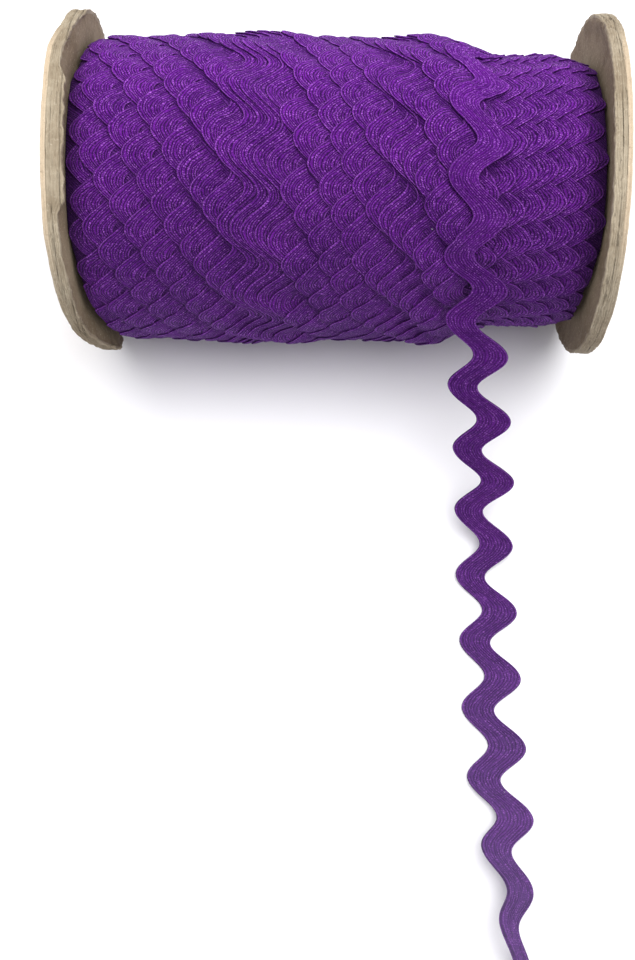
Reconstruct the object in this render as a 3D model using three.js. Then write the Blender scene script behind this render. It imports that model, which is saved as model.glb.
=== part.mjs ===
// A spool of ric rac, the braided wavy trimming, lying on its side with its loose end drawn off.
// The spool's axis runs along X. The roll's front, where the loose end comes off, faces -Y, and the
// surface that the spool and the loose end lie on is at Z = 0. Sizes are in millimetres.
import * as THREE from 'three';

// The two flanges of pressed board.
const FLANGE_RADIUS = 36.3;
const FLANGE_THICKNESS = 3.5;
const FLANGE_STEPS = 72;
const FLAT_HALF_ANGLE = 5; // in degrees, the stretch of rim that is pressed flat to each side
const FOOT_BLEND = 25; // in degrees, over which the rim comes back to its uneven outline
const RIM_ROUNDING = 0.5;
const LEAN = 0.9; // how far a flange's lowest point leans in towards the roll
const RIM_SWELL = 1.2; // how far the near rim of the left flange has swollen inwards
const SWELL_ROOT = 0.86; // of the radius, where the swelling starts
const RIM_SWELL_FROM = -2; // in degrees from the top of the roll towards its front
const RIM_SWELL_TO = 40;
const BOARD_UNEVENNESS = 0.25;

// The wound roll between them.
const INNER_HALF_LENGTH = 53.7; // from the spool's middle to the inner face of a flange
const GAP = 0.3; // between pieces that touch on the real spool
const ROLL_SAG = 0.4; // the windings sit this much low and forward of the spool's axis
const TOP_LAYER_RADIUS = 31.0;
const UNDER_LAYER_RADIUS = 28.5;
const LAYER_STEP_LENGTH = 11; // over which the top layer ends, on the layer under it
const SHOULDER_RADIUS = 27.2; // where the windings meet the flanges
const SHOULDER_LENGTH = 6;
const TURN_RISE = 0.8; // how far the edge of a turn stands over the turn that it covers
const EDGE_SPREAD = 0.15; // half the width of that step
const LEAST_STRIP = 0.5; // the least of a turn that shows beside its neighbour
const WAVES_ROUND = 14;
const STEPS_PER_WAVE = 5;

// One wave of the braid: its length, how far its middle swings, and half its width.
const WAVE_LENGTH = 14.9;
const SWING = 3.05;
const HALF_WIDTH = 3.55;
const STROKE_WIDENING = 0.4; // of the half width, on the stroke down from a right peak
const PEAK_WIDENING = 0.27; // of the half width, at a right peak
const ARC_BROADENING = 0.12; // makes the outer arcs broad and the inner ones tight
const BRAID_THICKNESS = 1.1;
const DOWN_STROKE_SHARE = 0.43; // the part of a wave from its right peak to its left peak

// The loose end: its place on the roll, its drop and its run along the surface.
const STRAND_PLACE = 28.3; // along the axis, where its turn lies
const STRAND_RADIUS = 32.2; // to the middle of its thickness
const STRAND_START = -40; // in degrees, behind the top of the roll
const LEAVING_ANGLE = 50; // in degrees, where it comes off the roll
const BED_HALF_WIDTH = 8.1; // the roll is level under the strand, from and to these angles
const BED_FROM = -46;
const BED_TO = 90;
const LANDING_BEND = 30;
const REACH = 162; // from the spool's axis to the cut end
const FIRST_RIGHT_PEAK = 24; // from the top of the roll along the strand
const STEPS_PER_LOOSE_WAVE = 10;
const TWIST_START = 128; // from the axis, where it starts to turn up onto its edge
const TWIST_END = 84; // in degrees, at the cut end
const TWISTED_HEIGHT = 6.9; // of its middle over its lower edge, once it stands on that edge

// How the loose end drifts to the right: its distance from the spool's axis, and its place along it.
const DRIFT = [
  { out: 0, place: 28.3 },
  { out: 24, place: 28.9 },
  { out: 44, place: 31.9 },
  { out: 60, place: 34.3 },
  { out: 90, place: 35.0 },
  { out: 108, place: 35.1 },
  { out: 123, place: 35.7 },
  { out: 138, place: 36.6 },
  { out: 150, place: 38.0 },
  { out: 162, place: 38.6 },
];

// The top layer, wound from left to right, so that each turn covers its left neighbour. Its zones are
// listed from the loose end's turn back to the left, each to its end along the axis. Its turns are a
// pitch apart, and the waves of each lie a share of a wave higher up the front than those of the turn
// to its right. Where the share is near 0 the waves nest in each other.
const TOP_LAYER_ZONES = [
  { end: 21.5, pitch: 2.3, share: 0.37 },
  { end: 11.9, pitch: 2.4, share: 0.14 },
  { end: -7.7, pitch: 2.45, share: 0.31 },
  { end: -17.5, pitch: 2.45, share: 0.045 },
  { end: -25.6, pitch: 2.7, share: 0.22 },
  { end: -47, pitch: 2.75, share: 0.31 },
];

// The layer under it, wound from right to left, which shows to the right of the loose end. Its waves
// lie nearly half a wave apart from turn to turn, so that they look like scales.
const UNDER_LAYER = { start: 46, end: 29, pitch: 2.05, share: 0.47, turned: 0.3 };

const COLOURS = { board: 0xb9ab93, ricRac: 0x5f2680, looseEnd: 0x6a3590 };

const radians = THREE.MathUtils.degToRad;
const smooth = THREE.MathUtils.smoothstep;

const AXIS_HEIGHT = FLANGE_RADIUS * Math.cos(radians(FLAT_HALF_ANGLE));
const AXIS_Y = (REACH - FLANGE_RADIUS) / 2;

// An angle round the axis in degrees from the top, positive towards the front.
function fromTop(angle) {
  const degrees = THREE.MathUtils.radToDeg(angle);
  return degrees > 180 ? degrees - 360 : degrees;
}

// A rise from 0 at one end of a stretch to 1 in its middle and back to 0 at its other end.
function swell(value, from, to) {
  if (value <= from || value >= to) return 0;
  return Math.sin((Math.PI * (value - from)) / (to - from)) ** 0.5;
}

// A closed surface from rings of points. Each ring is a list of the same number of points, and the
// first and last rings are each closed by a fan round a middle point.
function closedSurface(rings, firstMiddle, lastMiddle) {
  const positions = [];
  rings.flat().forEach((point) => positions.push(point.x, point.y, point.z));
  const count = rings[0].length;
  const index = [];
  for (let row = 0; row < rings.length - 1; row++) {
    for (let step = 0; step < count; step++) {
      const next = (step + 1) % count;
      const a = row * count + step;
      const b = row * count + next;
      index.push(a, b, b + count, a, b + count, a + count);
    }
  }
  const first = positions.length / 3;
  positions.push(firstMiddle.x, firstMiddle.y, firstMiddle.z);
  positions.push(lastMiddle.x, lastMiddle.y, lastMiddle.z);
  const lastRow = (rings.length - 1) * count;
  for (let step = 0; step < count; step++) {
    const next = (step + 1) % count;
    index.push(first, next, step);
    index.push(first + 1, lastRow + step, lastRow + next);
  }
  const geometry = new THREE.BufferGeometry();
  geometry.setAttribute('position', new THREE.Float32BufferAttribute(positions, 3));
  geometry.setIndex(index);
  geometry.computeVertexNormals();
  return geometry;
}

// A point round the spool's axis. The angle is from the top towards the front, in radians.
function roundAxis(place, radius, angle, sag = 0) {
  const y = AXIS_Y - sag - radius * Math.sin(angle);
  const z = AXIS_HEIGHT - sag + radius * Math.cos(angle);
  return new THREE.Vector3(place, y, Math.max(z, 0));
}

// How far the inner face of a flange lies from the spool's middle at a height over its axis.
function innerFace(height) {
  const low = Math.max(0, -height / FLANGE_RADIUS);
  return INNER_HALF_LENGTH - LEAN * low ** 2;
}

// How far the rim falls short of its full radius, in three long dents and seven short ones.
function rimDent(angle, phase) {
  const long = 0.6 * Math.sin(3 * angle + phase);
  const short = 0.4 * Math.sin(7 * angle + 2 * phase);
  return BOARD_UNEVENNESS * Math.max(0, long + short);
}

// One flange: an uneven disc of board with a rounded rim, pressed flat at its lowest point.
function flange(side, phase, swollen) {
  const rim = FLANGE_RADIUS;
  const round = RIM_ROUNDING;
  const thick = FLANGE_THICKNESS;
  const halfway = rim * 0.5;
  const profile = [
    { depth: 0, radius: halfway, edge: 0 },
    { depth: 0, radius: rim * SWELL_ROOT, edge: 0 },
    { depth: 0, radius: rim - round, edge: 1 },
    { depth: round, radius: rim, edge: 1 },
    { depth: thick - round, radius: rim, edge: 0 },
    { depth: thick, radius: rim - round, edge: 0 },
    { depth: thick, radius: halfway, edge: 0 },
  ];
  const rings = profile.map((spot) => {
    const ring = [];
    for (let step = 0; step < FLANGE_STEPS; step++) {
      const angle = (2 * Math.PI * step) / FLANGE_STEPS;
      const degrees = fromTop(angle);
      const foot = smooth(180 - Math.abs(degrees), FLAT_HALF_ANGLE, FLAT_HALF_ANGLE + FOOT_BLEND);
      const dent = spot.radius >= rim - round ? rimDent(angle, phase) * foot : 0;
      const inward = swollen * spot.edge * RIM_SWELL * swell(degrees, RIM_SWELL_FROM, RIM_SWELL_TO);
      const radius = spot.radius - dent;
      const height = radius * Math.cos(angle);
      const place = side * (innerFace(height) + spot.depth - inward);
      ring.push(roundAxis(place, radius, angle));
    }
    return ring;
  });
  if (side < 0) rings.forEach((ring) => ring.reverse());
  const middle = INNER_HALF_LENGTH;
  const inner = new THREE.Vector3(side * middle, AXIS_Y, AXIS_HEIGHT);
  const outer = new THREE.Vector3(side * (middle + thick), AXIS_Y, AXIS_HEIGHT);
  return closedSurface(rings, inner, outer);
}

// The phase of the braid's wave, from the share of the wave that has gone by since a right peak.
function wavePhase(share) {
  const part = share - Math.floor(share);
  if (part < DOWN_STROKE_SHARE) return (Math.PI * part) / DOWN_STROKE_SHARE;
  return Math.PI + (Math.PI * (part - DOWN_STROKE_SHARE)) / (1 - DOWN_STROKE_SHARE);
}

// The left and right edges of the braid at a phase, across its own middle line.
function braidEdges(phase) {
  const middle = SWING * Math.cos(phase);
  const peaks = PEAK_WIDENING * Math.cos(phase) - ARC_BROADENING * Math.cos(2 * phase);
  const half = HALF_WIDTH + STROKE_WIDENING * Math.sin(phase) + peaks;
  return { left: middle - half, right: middle + half };
}

// The turns of both layers from left to right, each with its place along the axis, the share of a
// wave that it is turned on by, and the side on which its edge shows.
function turnsOfRoll() {
  const turns = [];
  let place = STRAND_PLACE;
  let turned = (WAVES_ROUND * FIRST_RIGHT_PEAK) / (2 * Math.PI * STRAND_RADIUS);
  for (const zone of TOP_LAYER_ZONES) {
    while (place > zone.end) {
      turns.unshift({ place, turned, shows: 'left' });
      place -= zone.pitch;
      turned -= zone.share;
    }
  }
  const under = [];
  turned = UNDER_LAYER.turned;
  for (place = UNDER_LAYER.start; place > UNDER_LAYER.end; place -= UNDER_LAYER.pitch) {
    under.unshift({ place, turned, shows: 'right' });
    turned += UNDER_LAYER.share;
  }
  return turns.concat(under);
}

// The radius of the windings under the turns' own edges.
function rollRadius(place) {
  const step = smooth(place, STRAND_PLACE - LAYER_STEP_LENGTH / 2, STRAND_PLACE + LAYER_STEP_LENGTH / 2);
  const layer = THREE.MathUtils.lerp(TOP_LAYER_RADIUS, UNDER_LAYER_RADIUS, step);
  const fromFlange = INNER_HALF_LENGTH - Math.abs(place);
  const shoulder = 1 - Math.min(fromFlange / SHOULDER_LENGTH, 1);
  return layer - (layer - SHOULDER_RADIUS) * shoulder ** 2;
}

// The most that the windings may reach under the strand that leads to the loose end.
function bedRadius(place, angle) {
  const degrees = fromTop(angle);
  const beside = Math.abs(place - STRAND_PLACE) > BED_HALF_WIDTH;
  if (beside || degrees < BED_FROM || degrees > BED_TO) return Infinity;
  return STRAND_RADIUS - BRAID_THICKNESS / 2 - GAP - EDGE_SPREAD;
}

// Where the showing edge of each turn runs at one angle round the roll. A turn that is covered there
// keeps a narrow strip, so that every ring of points goes all the way round.
function showingEdges(turns, angle) {
  const round = (WAVES_ROUND * angle) / (2 * Math.PI);
  const edges = turns.map((turn) => turn.place + braidEdges(wavePhase(round - turn.turned))[turn.shows]);
  const split = turns.findIndex((turn) => turn.shows === 'right');
  for (let row = split - 2; row >= 0; row--) {
    edges[row] = Math.min(edges[row], edges[row + 1] - LEAST_STRIP);
  }
  for (let row = split; row < edges.length; row++) {
    edges[row] = Math.max(edges[row], edges[row - 1] + LEAST_STRIP);
  }
  return edges;
}

// The wound roll: two rings of points for each turn, one at the foot and one at the top of the edge
// that shows, so that the turns overlap each other like scales.
function woundRoll() {
  const turns = turnsOfRoll();
  const steps = WAVES_ROUND * STEPS_PER_WAVE;
  const rings = Array.from({ length: turns.length * 2 + 2 }, () => []);
  for (let step = 0; step < steps; step++) {
    const angle = (2 * Math.PI * step) / steps;
    const end = innerFace(TOP_LAYER_RADIUS * Math.cos(angle)) - GAP;
    const edges = showingEdges(turns, angle);
    rings[0].push(roundAxis(-end, SHOULDER_RADIUS, angle, ROLL_SAG));
    edges.forEach((edge, row) => {
      const left = turns[row].shows === 'left';
      [-EDGE_SPREAD, EDGE_SPREAD].forEach((offset, side) => {
        const room = LEAST_STRIP * (1 + row) - EDGE_SPREAD + offset;
        const roomRight = LEAST_STRIP * (turns.length - row) - EDGE_SPREAD - offset;
        const place = THREE.MathUtils.clamp(edge + offset, -end + room, end - roomRight);
        const high = left ? side === 1 : side === 0;
        const radius = rollRadius(place) + (high ? TURN_RISE : 0);
        rings[1 + row * 2 + side].push(
          roundAxis(place, Math.min(radius, bedRadius(place, angle)), angle, ROLL_SAG),
        );
      });
    });
    rings[rings.length - 1].push(roundAxis(end, SHOULDER_RADIUS, angle, ROLL_SAG));
  }
  const end = innerFace(0) - GAP;
  const middle = (place) => new THREE.Vector3(place, AXIS_Y, AXIS_HEIGHT);
  return closedSurface(rings, middle(-end), middle(end));
}

// The line that the loose end follows, as points out from the spool's axis and up from the surface:
// round the roll, straight down off it, round the landing bend and along the surface.
function looseEndLine() {
  const leaving = radians(LEAVING_ANGLE);
  const start = radians(STRAND_START);
  const low = BRAID_THICKNESS / 2;
  const leave = new THREE.Vector2(
    ROLL_SAG + STRAND_RADIUS * Math.sin(leaving),
    AXIS_HEIGHT - ROLL_SAG + STRAND_RADIUS * Math.cos(leaving),
  );
  const bendDrop = LANDING_BEND * (1 - Math.cos(leaving));
  const drop = (leave.y - low - bendDrop) / Math.sin(leaving);
  const bend = new THREE.Vector2(leave.x + drop * Math.cos(leaving), low + bendDrop);
  const landing = bend.x + LANDING_BEND * Math.sin(leaving);
  const roundRoll = STRAND_RADIUS * leaving;
  const dropEnd = roundRoll + drop;
  const bendEnd = dropEnd + LANDING_BEND * leaving;
  return {
    start: STRAND_RADIUS * start,
    end: bendEnd + REACH - landing,
    at(along) {
      if (along < roundRoll) {
        const angle = along / STRAND_RADIUS;
        const out = ROLL_SAG + STRAND_RADIUS * Math.sin(angle);
        const up = AXIS_HEIGHT - ROLL_SAG + STRAND_RADIUS * Math.cos(angle);
        return { out, up, slope: angle };
      }
      if (along < dropEnd) {
        const part = along - roundRoll;
        const out = leave.x + part * Math.cos(leaving);
        return { out, up: leave.y - part * Math.sin(leaving), slope: leaving };
      }
      if (along < bendEnd) {
        const slope = leaving - (along - dropEnd) / LANDING_BEND;
        const out = bend.x + LANDING_BEND * (Math.sin(leaving) - Math.sin(slope));
        return { out, up: low + LANDING_BEND * (1 - Math.cos(slope)), slope };
      }
      return { out: landing + along - bendEnd, up: low, slope: 0 };
    },
  };
}

function driftAt(out) {
  const after = DRIFT.findIndex((row) => row.out > out);
  if (after === 0) return DRIFT[0].place;
  if (after < 0) return DRIFT[DRIFT.length - 1].place;
  const before = DRIFT[after - 1];
  const share = (out - before.out) / (DRIFT[after].out - before.out);
  return THREE.MathUtils.lerp(before.place, DRIFT[after].place, share);
}

// The loose end: a wavy strip of even thickness that turns up onto its right edge at its cut end.
function looseEnd() {
  const line = looseEndLine();
  const length = line.end - line.start;
  const steps = Math.round((length / WAVE_LENGTH) * STEPS_PER_LOOSE_WAVE);
  const half = BRAID_THICKNESS / 2;
  const rings = [];
  const middles = [];
  for (let step = 0; step <= steps; step++) {
    const along = line.start + (length * step) / steps;
    const { out, up, slope } = line.at(along);
    const twist = radians(TWIST_END) * smooth(out, TWIST_START, REACH);
    const edges = braidEdges(wavePhase((along - FIRST_RIGHT_PEAK) / WAVE_LENGTH));
    const across = new THREE.Vector3(Math.cos(twist), 0, -Math.sin(twist));
    const upright = new THREE.Vector3(
      Math.sin(twist),
      -Math.sin(slope) * Math.cos(twist),
      Math.cos(slope) * Math.cos(twist),
    );
    const lift = TWISTED_HEIGHT * Math.sin(twist) + half * (Math.cos(twist) - 1);
    const middle = new THREE.Vector3(driftAt(out), AXIS_Y - out, up + Math.max(lift, 0));
    const corner = (edge, side) =>
      middle.clone().addScaledVector(across, edge).addScaledVector(upright, side * half);
    rings.push([
      corner(edges.left, -1),
      corner(edges.right, -1),
      corner(edges.right, 1),
      corner(edges.left, 1),
    ]);
    middles.push(middle.clone().addScaledVector(across, (edges.left + edges.right) / 2));
  }
  return closedSurface(rings, middles[0], middles[steps]);
}

function piece(name, geometry, colour) {
  const material = new THREE.MeshStandardMaterial({ color: colour, roughness: 0.85, metalness: 0 });
  material.flatShading = true;
  const mesh = new THREE.Mesh(geometry, material);
  mesh.name = name;
  return mesh;
}

const group = new THREE.Group();
group.add(piece('flange_left', flange(-1, 0.8, 1), COLOURS.board));
group.add(piece('flange_right', flange(1, 2.1, 0), COLOURS.board));
group.add(piece('wound_roll', woundRoll(), COLOURS.ricRac));
group.add(piece('loose_end', looseEnd(), COLOURS.looseEnd));

export default group;
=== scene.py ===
"""A spool of ric rac lying on its side, with its loose end drawn off over the front of the roll.

The spool's axis runs along X, and angles round it are in degrees from the top of the roll towards its
front, which faces -Y. Places are measured along the axis from the middle of the spool.
"""
import math

import bpy
import numpy as np
from bpy.props import FloatProperty, FloatVectorProperty, IntProperty, PointerProperty
from mathutils import Matrix, Vector, noise


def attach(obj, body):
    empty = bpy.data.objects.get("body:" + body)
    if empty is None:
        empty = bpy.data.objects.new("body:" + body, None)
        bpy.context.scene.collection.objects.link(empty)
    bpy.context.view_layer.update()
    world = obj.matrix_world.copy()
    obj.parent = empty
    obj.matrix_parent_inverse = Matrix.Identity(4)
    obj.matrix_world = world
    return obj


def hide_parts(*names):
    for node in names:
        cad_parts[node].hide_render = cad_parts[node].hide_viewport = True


bl_info = {
    "name": "Spool of ric rac",
    "version": (1, 0, 0),
    "blender": (4, 5, 0),
    "location": "3D View > Sidebar > Ric rac",
    "description": "Builds a spool of ric rac with its loose end lying on the surface",
    "category": "Object",
}

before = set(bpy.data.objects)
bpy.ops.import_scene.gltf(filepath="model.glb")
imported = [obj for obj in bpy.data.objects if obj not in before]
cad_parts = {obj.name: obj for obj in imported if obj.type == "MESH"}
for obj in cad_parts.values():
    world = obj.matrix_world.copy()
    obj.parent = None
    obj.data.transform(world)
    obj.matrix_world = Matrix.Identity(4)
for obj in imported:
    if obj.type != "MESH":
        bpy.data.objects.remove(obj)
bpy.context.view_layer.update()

MM = 0.001

# The two flanges of pressed board.
FLANGE_RADIUS = 36.3 * MM
FLANGE_THICKNESS = 3.5 * MM
INNER_HALF_LENGTH = 53.7 * MM  # from the spool's middle to the inner face of a flange
OUTER_PLY_DEPTH = 2.45 * MM  # where the outer ply starts
FLAT_HALF_ANGLE = 5  # the stretch of rim that is pressed flat to each side
FOOT_BLEND = 25
# How far the rim of each flange leans in towards the roll, in mm, at angles from the top.
LEFT_LEAN = (
    [-180, -110, -60, -40, -30, -22, -13, 50, 60, 70, 80, 90, 100, 110, 120, 135, 155, 172, 180],
    [0.9, 2.0, 2.3, 1.9, 1.6, 1.0, 0.0, 0.0, 0.4, 0.8, 1.4, 2.2, 4.0, 6.0, 6.8, 6.0, 3.0, 1.0, 0.9],
)
RIGHT_LEAN = ([-180, -110, -50, -20, 0, 90, 140, 180], [0.9, -0.6, -1.2, -0.8, 0.0, 0.0, 0.4, 0.9])
LEAN_EVENED = range(-25, 26, 5)  # the angles over which the right flange's lean is evened out
LEAN_POWER = 3  # a flange bends more towards its rim
# How far the windings have pressed the right flange's inner face outwards, and how far they stand in
# from the flanges at both ends, in mm.
RIGHT_DISH = ([-180, -60, 0, 50, 85, 180], [0.2, 0.6, 1.2, 1.2, 0.2, 0.2])
DRAWN_IN = ([50, 75, 100, 130], [0.0, 1.0, 1.7, 0.0])
LEFT_RIM_THINNING = 0.5 * MM
RIM_SWELL_FROM = -5
RIM_SWELL_TO = 44
AXIS_HEIGHT = FLANGE_RADIUS * math.cos(math.radians(FLAT_HALF_ANGLE))
REACH = 162 * MM  # from the spool's axis to the cut end
AXIS_Y = (REACH - FLANGE_RADIUS) / 2
FLANGE_SIDES = 360
PLIES = 7
# A flange's profile: points over its faces and over a ply, as shares of its radius.
FACE_SHARES = [0.05, 0.3, 0.55, 0.75, 0.83, 0.87, 0.9, 0.93, 0.955, 0.975, 0.99]
GROOVE_SHARE = 0.9945
PLY_POINTS = [(0.02, GROOVE_SHARE), (0.25, 1.0), (0.75, 1.0)]
LAST_EDGE = 0.02 * MM
RIM_SHARE = 0.975  # where the rim's material starts
# The wear: where on the radius it starts and is full, and for each kind how finely it runs, in waves
# of noise a metre through the plies and across the face, and how deep it goes.
HUB_SHARE = 0.1
RIM_WEAR = (0.84, 0.99)
WORN_SHARE = 0.985
CHIPS = (900, 160, 0.6 * MM)
FRAYS = (1500, 700, 0.5 * MM)
RAGGED = (300, 480, 0.35 * MM)
FINE_RAGGED = (1900, 0.2 * MM)
SWELL_NOISE = (500, 0.25)
SWELL_ENDS = (7, 5)  # the degrees over which the swelling rises and falls
DISH_EDGE = (0.88, 0.96)  # where on the radius the dished inner face ends
LEFT_SEED = 3.7
RIGHT_SEED = 9.2
LEFT_RIM_CRACKS = 0.6  # how far the left rim's plies have parted, beside the right one's

# One wave of the braid, seen flat.
WAVE_LENGTH = 14.9 * MM
SWING = 3.05 * MM
HALF_WIDTH = 3.55 * MM
STROKE_WIDENING = 0.4 * MM
PEAK_WIDENING = 0.27 * MM
ARC_BROADENING = 0.12 * MM
DOWN_STROKE_SHARE = 0.47  # the part of a wave from its right peak to its left peak

# A section across the braid: each point's place from the left edge at -1 to the right edge at 1, and
# its height as a share of the thickness. The top comes first, from left to right.
SECTION = [
    *((-1.0, 0.5), (-0.97, 0.8), (-0.9, 0.95), (-0.75, 1.0), (-0.5, 1.0), (-0.25, 1.0), (0.0, 1.0)),
    *((0.25, 1.0), (0.5, 1.0), (0.75, 1.0), (0.9, 0.95), (0.97, 0.8), (1.0, 0.5)),
    *((0.95, 0.12), (0.5, 0.0), (-0.5, 0.0), (-0.95, 0.12)),
]
TOP_POINTS = 13
# The same for the loose end, but for its ribs: a rib's points, as shares of its width and height.
LOOSE_EDGE = [(-1.0, 0.5), (-0.985, 0.72)]
RIB_POINTS = [(0.12, 0.86), (0.35, 0.98), (0.65, 0.98), (0.88, 0.86)]
LOOSE_UNDERSIDE = [(0.93, 0.06), (0.5, 0.0), (0.0, 0.0), (-0.5, 0.0), (-0.93, 0.06)]

# The roll. It is wound in turns over a grid of heights, round the roll and along it.
ROLL_SAG = 0.9 * MM  # the windings sit this much low and forward of the spool's axis
WAVES_ROUND = 14
SAMPLES_PER_WAVE = 24
GAP = 0.05 * MM
PLACE_STEP = 0.15 * MM
UPPER_BASE = 30.8 * MM  # what the top layer is wound on
UNDER_BASE = 27.3 * MM  # what the layer under it is wound on
BASE_STEP_FROM = 16 * MM
BASE_STEP_TO = 34 * MM
# How much fuller than its base the roll is at places along it, in mm.
FULLNESS = (
    [-50, -44, -34, -24, -12, -3, 6, 14, 21, 28, 34],
    [0, 0, 0.5, 0.7, 0.8, 0.4, 0.1, 0.1, 0.2, 0.2, 0],
)
LEFT_SHOULDER = (3.5 * MM, 1.8 * MM, 1.5)  # its length, its fall at the flange, and its power
RIGHT_SHOULDER = (2 * MM, 0.7 * MM, 1.5)
JOIN_SAMPLES = 24  # over which one turn runs into the next, on the underside of the roll
# How a turn drapes over what it lies on: rounds of softening, and their reach in samples of the grid
# round the roll and along it.
DRAPE_ROUNDS = 4
DRAPE_REACH = (2, 5)
LAST_DRAPE_REACH = (1, 3)
DRAPE_MARGIN = 1.2 * MM  # beyond the edges of the turn
EDGE_FALL = 0.5  # how much thinner the braid is at its edges, as a share
EDGE_POWER = 14
CREASE_DEPTH = 0.5 * MM  # below the smoothed surface, where a crease counts as full
CREASE_REACH = (5, 14)
FILL_DEPTH = 0.32 * MM  # of the turns underneath, below the smoothed surface
FILL_REACH = (5, 16)
FILL_STEP = 4

# Stations of the winding: the turn, its place, and how far down the front one slanting row of left
# peaks has come by that turn.
TOP_LAYER = [
    (-3, -47.3, -28),
    (-2, -46.9, -13),
    (0, -41.9, 4.5),
    (3, -33.2, 30.6),
    (6, -25.4, 53.9),
    (9, -17.7, 71.5),
    (13, -7.9, 76.2),
    (14, -4.9, 85),
    (17, 2.7, 110),
    (19, 6.8, 127),
    (21, 11.8, 143),
    (25, 21.3, 158),
    (27, 25.6, 175),
    (27.8, 28.1, 175.5),
    (28.2, 28.3, 185.8),
]
# The layer under it is wound from right to left.
UNDER_LAYER = [
    (-2, 48.0, -136.0),
    (-1, 47.3, -122.2),
    (0, 45.9, -108.4),
    (8, 29.35, 1.8),
    (12, 21.0, 56.9),
]
UNDER_SPAN = (-2.5, 12.5)  # the turns that each layer is wound over, and where its pieces part
TOP_SPAN = (-3.5, 8.5, 18.5)
UNDER_WOBBLE = 0.12 * MM
TOP_WOBBLE = 0.18 * MM
LAST_TURN = 28
LOOSE_FROM = -40  # where the loose end is taken up, behind the top of the roll
SETTLE_FROM = -15  # the loose end lies on the turns like one of them up to here
SETTLE_TO = 40  # and from here it is straight across
LOWER_FROM = 10  # from here it goes down to the line that it leaves the roll on
RESTING_ANGLE = 38  # where that line rests on the roll
RESTING_LIFT = 0.15 * MM
LEAVING_ANGLE = 50
# How far round the roll the loose end may touch the turns, and how it is lifted on to them.
BEDDED_TO = 100
BEDDING_ROUNDS = 6
BEDDING_SPOTS = 25
BEDDING_REACH = (4, 2)
LAST_BEDDING_REACH = (2, 1)

# The loose end: round the roll, straight down off it, round the landing bend and along the surface.
LANDING_BEND = 30 * MM
TWIST_START = 118 * MM
TWIST_END = 64
SPREAD = 0.34 * MM  # how much wider to each side the braid lies on the surface
SPREAD_FROM = 60 * MM
SPREAD_TO = 120 * MM
TWISTED_HEIGHT = 6.9 * MM
LOOSE_SAMPLES_PER_WAVE = 36
DRIFT_OUT = [0, 24, 44, 60, 90, 108, 123, 138, 150, 162]  # out from the spool's axis, in mm
DRIFT_PLACE = [28.3, 27.6, 30.2, 33.4, 34.5, 34.5, 35.1, 36.3, 36.7, 37.0]
SPAN_WAVES = 0.035  # more waves than its length gives, drawn together where it hangs free
SPAN_LENGTH = 25 * MM
LOOSE_RIB_SHARE = 0.57  # how deep its ribs' bump and how much its lint is, beside the roll's
LOOSE_LINT_SHARE = 0.4

# The photograph's camera.
CAMERA_PLACE = (-3.12 * MM, -104.0 * MM, 277.73 * MM)
CAMERA_ELEVATION = 68.108
CAMERA_ROLL = 0.479
LENS = 48.75

# The lamp and the floor.
LAMP_ANGLE = 70
LAMP_FROM = (0.12, 0.03, 1.0)
FLOOR_SIZE = 6
FLOOR_COLOUR = (0.86, 0.86, 0.88, 1)
SKY_COLOUR = (1, 0.99, 1, 1)

# Materials. A colour here is one that no setting changes.
RIB_DEPTH = 0.3 * MM
YARNS_IN_A_WAVE = 34
LINT_COLOUR = (0.55, 0.5, 0.62, 1)
# Colour of the painted haze of bounce light on the loose end.
PAINTED_HAZE_COLOUR = (0.32, 0.27, 0.43, 1)
SHEEN_TINT = (0.6, 0.25, 1.0, 1.0)
ROLL_LOW_SHADE = 0.58  # how much light reaches the braid low on the roll, and off it
LOOSE_LOW_SHADE = 0.5
FACE_SHADE = 0.68  # how much reaches the faces of the flanges
# Painted shade on the flanges: the tint it gives their inner faces, and how light it leaves them low
# down.
BROWNING = (1.0, 0.91, 0.84)
LOW_BOARD_SHADE = 0.72
FIBRE_COLOUR = (0.24, 0.19, 0.13, 1)
SPECK_COLOUR = (0.2, 0.15, 0.1, 1)
PALE_SPECK_COLOUR = (0.7, 0.62, 0.48, 1)
CRACK_COLOUR = (0.12, 0.085, 0.055, 1)
PLY_WAVES = 2 / (1 * MM)  # cracks between plies, for each metre of depth


def smooth_step(value, start, end):
    """A rise from 0 at start to 1 at end, for numbers and arrays."""
    part = np.clip((value - start) / (end - start), 0, 1)
    return part * part * (3 - 2 * part)


def wave_phase(waves):
    """The phase of the braid's wave, from the waves that have gone by since a right peak."""
    part = np.mod(waves, 1.0)
    down = math.pi * part / DOWN_STROKE_SHARE
    back = math.pi + math.pi * (part - DOWN_STROKE_SHARE) / (1 - DOWN_STROKE_SHARE)
    return np.where(part < DOWN_STROKE_SHARE, down, back)


def braid_edges(waves):
    """Where the left and the right edge of the braid lie across its own middle line."""
    phase = wave_phase(waves)
    middle = SWING * np.cos(phase)
    peaks = PEAK_WIDENING * np.cos(phase) - ARC_BROADENING * np.cos(2 * phase)
    half = HALF_WIDTH + STROKE_WIDENING * np.sin(phase) + peaks
    return middle - half, middle + half


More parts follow.
